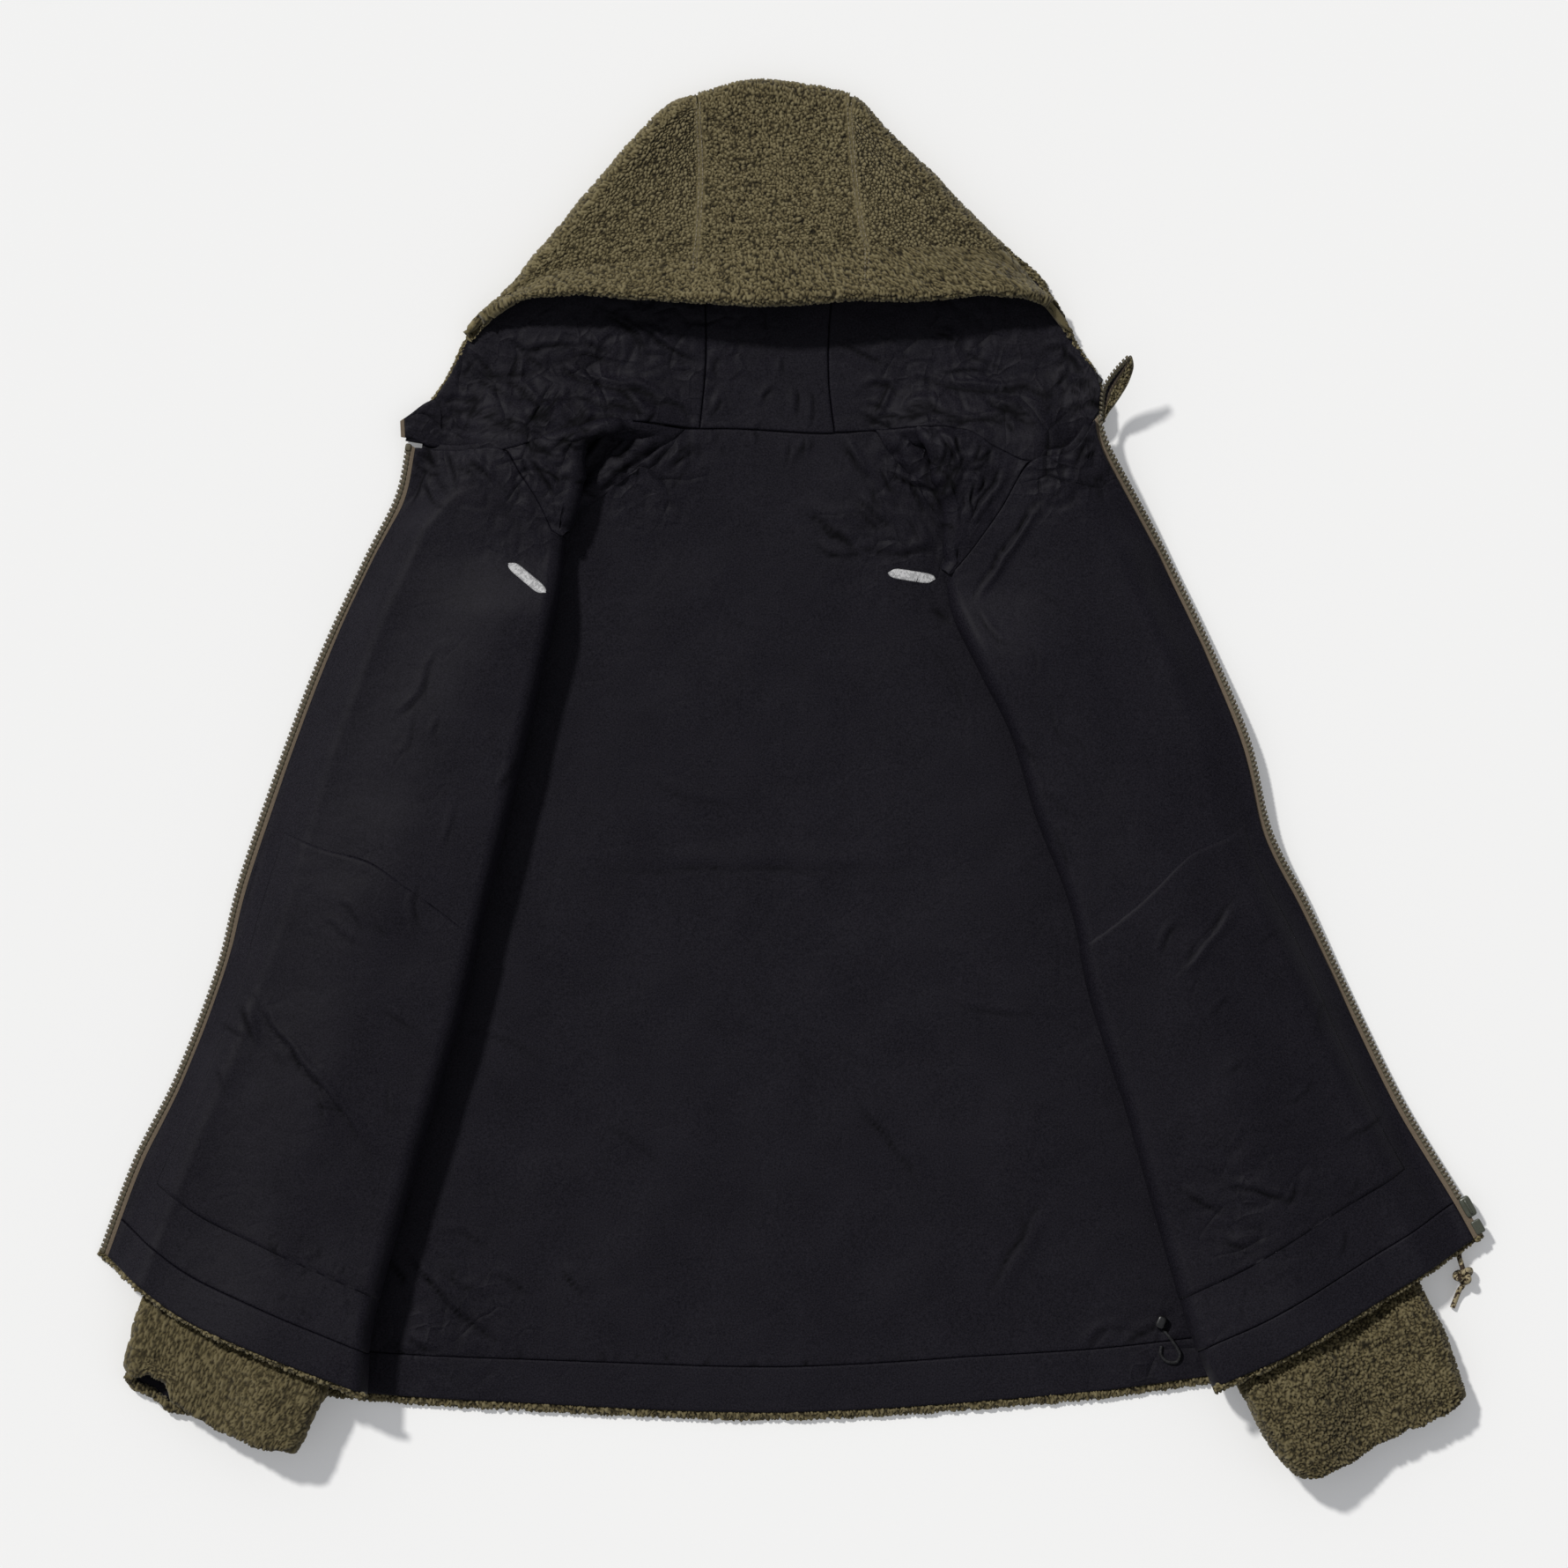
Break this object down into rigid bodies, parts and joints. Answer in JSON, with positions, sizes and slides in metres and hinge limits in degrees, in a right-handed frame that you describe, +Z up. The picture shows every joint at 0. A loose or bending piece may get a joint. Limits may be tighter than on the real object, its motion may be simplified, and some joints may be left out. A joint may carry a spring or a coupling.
{
  "type": "reversible hooded fleece jacket",
  "caption": "Reversible hooded jacket of deep-pile fleece and smooth nylon, laid open on its back, nylon side up, its hood folded over and its fronts turned back over the sleeves.",
  "frame": {"origin": "centre of the jacket's footprint, on the surface that it lies on", "axes": "+X towards the wearer's left side, +Y from the back hem towards the hood, +Z up from the surface"},
  "size_m": [0.9544, 0.9662, 0.0447],
  "materials": {
    "nylon": "smooth woven nylon, faint sheen",
    "fleece": "curly olive pile",
    "zip_tape": "woven tape",
    "zip_teeth": "moulded, satin",
    "zip_slider": "painted, glossy",
    "black_plastic": "matt",
    "pull_cord": "braided cord"
  },
  "bodies": {
    "root": {"back_panel": "nylon", "back_hem_casing": "nylon", "front_left": "nylon", "front_right": "nylon", "front_left_hem_casing": "nylon", "front_right_hem_casing": "nylon", "pocket_left": "nylon", "pocket_right": "nylon", "sleeve_left": "nylon", "sleeve_right": "nylon", "hood_center": "fleece", "hood_side_left": "fleece", "hood_side_right": "fleece", "hood_brim": "fleece", "hood_edge_left": "fleece", "hood_edge_right": "fleece", "chin_flap_left": "fleece", "chin_tab_right": "fleece", "zip_tape_left": "zip_tape", "zip_tape_right": "zip_tape", "zip_chain_left": "zip_teeth", "zip_chain_right": "zip_teeth", "zip_top_stop_left": "zip_teeth", "zip_top_stop_right": "zip_teeth", "zip_slider": "zip_slider", "zip_retainer_box": "zip_slider", "hem_cord_lock": "black_plastic", "hem_cord_loop": "black_plastic", "pull_cord": "pull_cord", "pull_cord_tail": "pull_cord", "pull_cord_knot": "pull_cord"}
  },
  "joints": []
}
